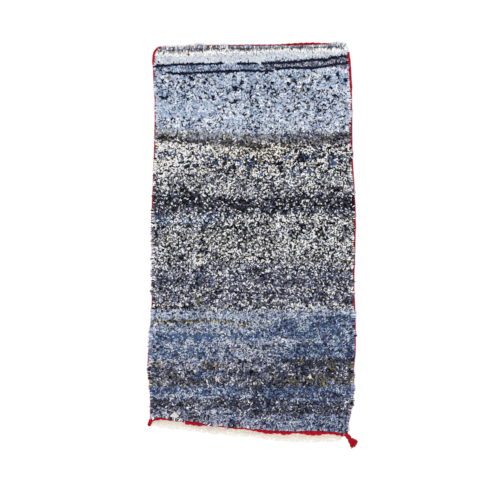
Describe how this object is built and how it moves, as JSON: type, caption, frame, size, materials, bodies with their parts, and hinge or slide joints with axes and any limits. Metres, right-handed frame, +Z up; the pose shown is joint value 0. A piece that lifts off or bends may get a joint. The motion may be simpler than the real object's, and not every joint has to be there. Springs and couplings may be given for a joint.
{
  "type": "denim rug",
  "caption": "Flat hand-knotted shag rug of denim rag pile in mottled blue stripes, with red side edges, twined end rows, a cream flat-woven end and corner tassels.",
  "frame": {"origin": "on the floor under the middle of the rug's box", "axes": "+Y along the rug towards its top end, away from the cream flat-woven end; +X across it to the right; +Z up through the pile"},
  "size_m": [1.0546, 2.0308, 0.0255],
  "materials": {
    "denim_pile": "cut denim rag pile, matt",
    "red_yarn": "soft spun yarn, matt",
    "cream_cotton": "plain weave cotton, matt"
  },
  "bodies": {
    "root": {"rug_field": "denim_pile", "selvedge_left": "red_yarn", "selvedge_right": "red_yarn", "end_row_top": "red_yarn", "end_row_bottom": "red_yarn", "kilim_end": "cream_cotton", "tassel_right": "red_yarn", "tassel_left": "red_yarn"}
  },
  "joints": []
}
